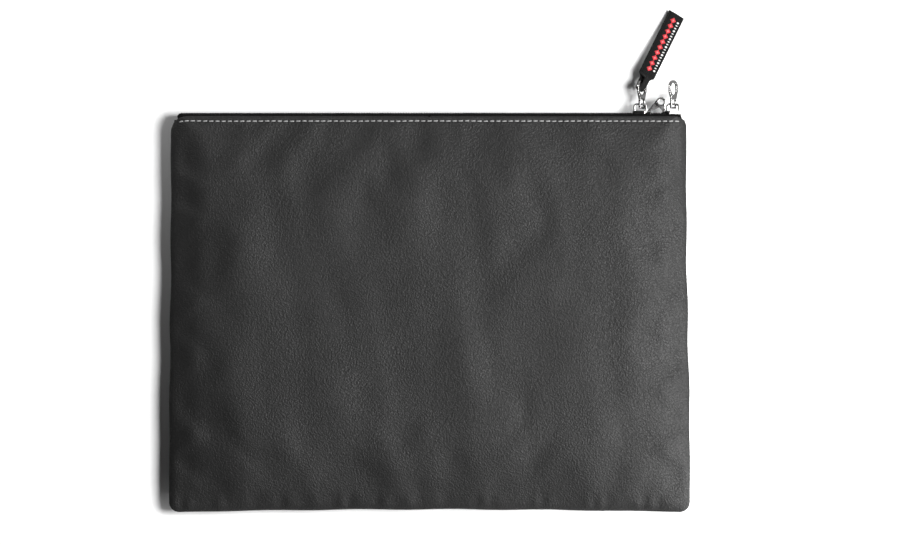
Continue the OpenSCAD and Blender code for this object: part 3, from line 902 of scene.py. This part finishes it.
def tag_face(t, u):
    """Height of the tag's upper face over its middle plane: crowned, rolled over at the left"""
    crown = 0.95 * MM - 0.25 * MM * u * u
    rolled = 0.75 * MM * smooth((-u - 0.35) / 0.65) ** 2
    curl = 0.25 * MM * smooth((t - 20 * MM) / (22 * MM)) * u
    return crown - rolled + curl


def ribbon_station(s):
    """Middle line of the ribbon at s from 0 to 1: (t, n, tangent angle), upper layer to lower"""
    straight, arc = TAG_END + LOOP_DEPTH, pi * LOOP_R
    run = s * (2 * straight + arc)
    if run < straight:
        return TAG_END - run, 1, 0.0
    if run < straight + arc:
        return -LOOP_DEPTH, 0, (run - straight) / LOOP_R
    return -LOOP_DEPTH + (run - straight - arc), -1, pi


def build_tag(materials):
    strap = build_strap(materials["tag_webbing"])
    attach(strap, "tag")
    pieces_stand_for([strap], "tag_strap")
    band = build_band(materials)
    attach(band, "tag")
    pieces_stand_for([band], "tag_band")
    tack = build_bar_tack(materials["seam_thread"])
    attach(tack, "tag")
    pieces_stand_for([tack], "tag_stitching")


def strap_grids():
    """Outer and inner face of the whole ribbon, from the tag's end round the ring and back"""
    columns, rows = 25, 140
    across = np.linspace(-1, 1, columns)
    near_loop = 0.5 - 0.5 * np.cos(np.linspace(0, pi, rows))
    stations = 0.5 + (near_loop - 0.5) * np.abs(2 * near_loop - 1) ** 0.4
    outer, inner = [], []
    for s in stations:
        t, upper, angle = ribbon_station(s)
        open_share = float(smooth((t - OPEN_FROM) / (OPEN_TO - OPEN_FROM)))
        width = PINCH_HALF_W + (TAG_HALF_W - PINCH_HALF_W) * open_share
        twist = TAG_PINCH * (1 - open_share)
        face = tag_face(t, across) * open_share + (1 - open_share) * (LOOP_R + LAYER_T / 2)
        gather = 0.2 * MM * np.cos(across * pi * 3.5) * (1 - open_share) ** 0.5
        if upper > 0:
            n_out, t_out = face + gather, np.full(columns, t)
            n_in, t_in = face - LAYER_T, t_out
        elif upper == 0:
            reach_out, reach_in = LOOP_R + LAYER_T / 2 + gather, LOOP_R - LAYER_T / 2
            n_out, t_out = reach_out * cos(angle), t - reach_out * sin(angle)
            n_in, t_in = reach_in * cos(angle), t - reach_in * sin(angle)
        else:
            bottom = -0.95 * MM * open_share - (1 - open_share) * (LOOP_R + LAYER_T / 2)
            roll = 0.35 * MM * open_share * smooth((-across - 0.35) / 0.65) ** 2
            n_out, t_out = bottom + roll - gather, np.full(columns, t)
            n_in, t_in = bottom + roll + LAYER_T, t_out
        for grid, n, along in ((outer, n_out, t_out), (inner, n_in, t_in)):
            x = across * width
            skew = -TAG_END_SKEW * across * (np.maximum(along, 0) / TAG_END) ** 3
            side, out = x * cos(twist) + n * sin(twist), n * cos(twist) - x * sin(twist)
            grid.append(tag_points(side, along + skew, out))
    return np.array(outer), np.array(inner)


def build_strap(material):
    outer, inner = strap_grids()
    rim = np.zeros_like(outer)
    side = np.array(TAG_FRAME.to_3x3() @ Vector((1, 0, 0)))
    along = np.array(TAG_FRAME.to_3x3() @ Vector((0, 1, 0)))
    rim[:, 0] = -0.22 * MM * side
    rim[:, -1] = 0.22 * MM * side
    rim[0], rim[-1] = 0.25 * MM * along, 0.25 * MM * along
    return shell("tag_strap_ribbon", outer, inner, rim, material, True)


def on_tag_face(x, t, lift):
    return tag_points(x, t, tag_face(t, x / TAG_HALF_W) + lift)


def raised_patch(x, t, height, first):
    """Low woven float over the tag's face, between outline points x and t"""
    center_x, center_t = x.mean(), t.mean()
    rings = []
    for shrink, lift in ((1.0, -0.1 * MM), (1.0, height * 0.6), (0.8, height)):
        ring_x = center_x + (x - center_x) * shrink
        ring_t = center_t + (t - center_t) * shrink
        rings.append(on_tag_face(ring_x, ring_t, lift))
    count = len(x)
    faces = []
    for k in range(2):
        for i in range(count):
            a, b = first + k * count + i, first + k * count + (i + 1) % count
            faces.append((a, b, b + count, a + count))
    faces.append(tuple(first + 2 * count + i for i in range(count)))
    faces.append(tuple(first + i for i in range(count))[::-1])
    return np.concatenate(rings), faces


def build_band(materials):
    """Generic woven ornament: a chain of lozenges beside a row of short bars"""
    points, faces, kinds = [], [], []
    start, pitch, lozenges = 8.6 * MM, 3.5 * MM, 10
    lozenge_x, bar_x, bar_half_l = -0.3 * MM, 2.85 * MM, 0.75 * MM
    layer = 0.12                   # height of one woven layer, in mm

    def put(x, t, height, kind):
        body, more = raised_patch(np.array(x), np.array(t), height, sum(len(p) for p in points))
        points.append(body)
        faces.extend(more)
        kinds.extend([kind] * len(more))

    for k in range(lozenges):
        t = start + k * pitch
        for half_x, half_t, height, kind in ((1.75, 1.7, layer, 0), (0.8, 0.8, 0.2, 1)):
            angles = np.arange(8) * pi / 4
            reach = MM / (np.abs(np.cos(angles)) + np.abs(np.sin(angles)))
            put(lozenge_x + half_x * np.cos(angles) * reach, t + half_t * np.sin(angles) * reach,
                height * MM, kind)
    bars = 2 * lozenges - 1
    for k in range(bars):
        t = start - 0.2 * MM + k * pitch / 2
        bar = 0.33 * MM if k % 3 else 0.6 * MM
        ring = np.linspace(0, 2 * pi, 9)[:-1] + pi / 8
        put(bar_x + bar_half_l * np.cos(ring), t + bar * np.sin(ring), layer * MM, 2)
    slots = [materials["tag_band"], materials["tag_band_light"], materials["tag_bars"]]
    return make_mesh("tag_band_floats", np.concatenate(points), faces, slots, kinds)


def build_bar_tack(material):
    """Close zigzag of thread that holds the two layers together"""
    turns, per_turn, width, place_at, half_l = 13, 6, 7.2 * MM, 5.9 * MM, 0.75 * MM
    t = np.arange(turns * per_turn + 1) / per_turn
    x = (t / turns - 0.5) * width
    along = place_at + half_l * np.cos(2 * pi * t)
    u = x / TAG_HALF_W
    lift = 0.14 * MM - 0.1 * MM * np.abs(np.cos(2 * pi * t)) ** 4
    open_share = smooth((along - OPEN_FROM) / (OPEN_TO - OPEN_FROM))
    x = x * (0.55 + 0.45 * open_share)
    twist = TAG_PINCH * (1 - open_share)
    face = tag_face(along, u) * open_share + (1 - open_share) * (LOOP_R + LAYER_T / 2) + lift
    path = tag_points(x * np.cos(twist) + face * np.sin(twist), along,
                      face * np.cos(twist) - x * np.sin(twist))
    up = TAG_FRAME.to_3x3() @ Vector((0, 0, 1))
    return merged_sweeps("tag_bar_tack", [path], 0.17 * MM, 6, up, material)


# ---------------------------------------------------------------- metal parts
def finish_metal(node, material, polishing):
    """Evens out the edges of a CAD part, as casting and polishing do, and gives it its plating"""
    part = frame["nodes"][node]
    part.data.materials.clear()
    part.data.materials.append(material)
    even = part.modifiers.new("even_faces", "REMESH")
    even.mode = "VOXEL"
    even.voxel_size = 0.13 * MM
    even.use_smooth_shade = True
    polish = part.modifiers.new("polish", "SMOOTH")
    polish.factor = 0.5
    polish.iterations = polishing


def build_metal(materials):
    for side in ("left", "right"):
        finish_metal(f"{side}_slider_body", materials["slider_metal"], 6)
        finish_metal(f"{side}_slider_bridge", materials["slider_metal"], 6)
        finish_metal(f"{side}_pull", materials["pull_metal"], 14)
        build_end_stop(side, materials["end_stop"])


def build_end_stop(side, material):
    """Wire clip crimped round the end of the chain, folded away inside the corner"""
    lo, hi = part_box(f"{side}_end_stop")
    x = (lo.x + hi.x) / 2
    wire = (hi.x - lo.x) / 2
    count = 40
    angle = np.linspace(0, 2 * pi, count + 1)[:-1]
    y = CHAIN_Y - STOP_SINK + STOP_HALF_Y * squared(np.sin(angle), 0.5)
    z = MID_Z + STOP_HALF_Z * squared(np.cos(angle), 0.7)
    path = np.stack([np.full(count, x), y, z], axis=1)
    piece = merged_sweeps(f"{side}_end_stop_clip", [path], wire * 0.9, 8, (1, 0, 0), material)
    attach(piece, "pouch_body")
    pieces_stand_for([piece], f"{side}_end_stop")


# ---------------------------------------------------------------- studio
def build_floor():
    material, tree, surface = new_material("floor_paper")
    tooth = noise_texture(tree, place(tree), 300.0)
    paper = mix_color(tree, tooth, grey(0.9), grey(0.94))
    # Seen in reflections the floor is coloured much darker than to the camera: a painted darker
    # reflection that draws dark outlines on the metal
    mirrored = add(tree, "ShaderNodeLightPath").outputs["Is Glossy Ray"]
    wire(tree, surface, {
        "Base Color": mix_color(tree, mirrored, paper, grey(0.2)),
        "Roughness": 0.9,
        "Specular IOR Level": 0.1,
    })
    reach = 6.0
    corners = [(-reach, -reach, 0), (reach, -reach, 0), (reach, reach, 0), (-reach, reach, 0)]
    floor = make_mesh("floor", corners, [(0, 1, 2, 3)], [material])
    floor.location.z = -0.05 * MM


def build_light(name, place_at, size, energy):
    data = bpy.data.lights.new(name, "AREA")
    data.size = size
    data.energy = energy
    lamp = link(name, data)
    lamp.location = place_at
    lamp.rotation_euler = (-Vector(place_at)).to_track_quat("-Z", "Y").to_euler()
    lamp.visible_camera = False


def build_world():
    """Pale to the camera, a soft striped studio to the metal, and a weak fill to all the rest"""
    world = bpy.data.worlds.new("studio")
    bpy.context.scene.world = world
    world.use_nodes = True
    tree = world.node_tree
    background = tree.nodes["Background"]
    direction = add(tree, "ShaderNodeTexCoord").outputs["Generated"]
    axes = add(tree, "ShaderNodeSeparateXYZ", {0: direction}).outputs
    stripes = add(tree, "ShaderNodeTexWave", {"Vector": direction, "Scale": 0.9, "Distortion": 1.5},
                  bands_direction="DIAGONAL").outputs["Fac"]
    lit_side = remap(tree, axes[0], 0.1, 0.6, 0.0, 1.0)
    not_above = remap(tree, axes[2], 0.8, 0.55, 0.0, 1.0)
    boxes = math_node(tree, "MULTIPLY", math_node(tree, "MULTIPLY", lit_side, not_above),
                      remap(tree, stripes, 0.4, 0.6, 0.1, 0.9))
    ends = remap(tree, math_node(tree, "ABSOLUTE", axes[1]), 0.35, 0.8, 0.02, 0.5)
    boxes = math_node(tree, "ADD", boxes, ends)
    rays = add(tree, "ShaderNodeLightPath").outputs
    fill = mix_color(tree, rays["Is Glossy Ray"], grey(0.008), boxes)
    seen = mix_color(tree, rays["Is Camera Ray"], fill, grey(0.93))
    wire(tree, background, {"Color": seen, "Strength": 1.0})


def build_camera():
    """Straight above, a little towards the zip and the tag"""
    data = bpy.data.cameras.new("camera")
    data.lens = 135
    data.sensor_width = 36
    camera = link("camera", data)
    view_w, over_x, over_y = 518.4 * MM, 11.8 * MM, 23.1 * MM
    distance = view_w * data.lens / data.sensor_width
    camera.location = (over_x, over_y, MID_Z + distance)
    data.clip_end = 10
    bpy.context.scene.camera = camera
    bpy.context.scene.view_settings.view_transform = "Standard"


def build_studio():
    build_floor()
    build_world()
    build_light("key", (0.77, 0.06, 1.1), 0.54, 34)
    build_light("low_edge_light", (0.46, -0.24, 0.13), 0.2, 3.0)
    build_light("shadow_fill", (-0.25, 0.24, 0.08), 0.1, 0.17)
    build_camera()


# ---------------------------------------------------------------- assembly
def main():
    materials = {
        "leather": leatherette(),
        "padding": felt(),
        "lining": woven("glass_cloth", (0.42, 0.4, 0.34, 1), (0.78, 0.76, 0.68, 1), 0.9 * MM),
        "zip_tape": woven("tape_weave", grey(0.001), grey(0.005), 0.5 * MM, 0.9, 0.0),
        "coil": nylon(),
        "cord": thread("filler_cord", grey(0.003), grey(0.012), 0.08),
        "thread": thread("stitch_thread", grey(0.22), grey(0.5)),
        "seam_thread": thread("dark_thread", grey(0.004), grey(0.012), 0.08),
        "tag_webbing": woven("ribbon_weave", grey(0.002), grey(0.012), 0.35 * MM, 0.7, 0.05),
        "tag_band": woven("ornament_red", (0.4, 0.01, 0.02, 1), (0.8, 0.06, 0.07, 1), 0.3 * MM, 0.5),
        "tag_band_light": woven("ornament_rose", (0.42, 0.08, 0.09, 1), (0.7, 0.25, 0.26, 1),
                                0.3 * MM, 0.5),
        "tag_bars": woven("ornament_white", grey(0.5), grey(0.85), 0.3 * MM, 0.5),
        "slider_metal": plated("slider_plating", 0.42, 0.14),
        "pull_metal": plated("pull_plating", 0.46, 0.08),
        "end_stop": plated("clip_plating", 0.05, 0.35),
    }
    shade_lining_corners(materials["lining"])
    halves = {"front": Half(FRONT), "back": Half(BACK)}
    build_soft_layers(halves, materials)
    build_zip(halves, materials)
    build_topstitch(halves, materials["thread"])
    build_seam_thread(materials["seam_thread"])
    build_tag(materials)
    build_metal(materials)
    build_studio()


main()
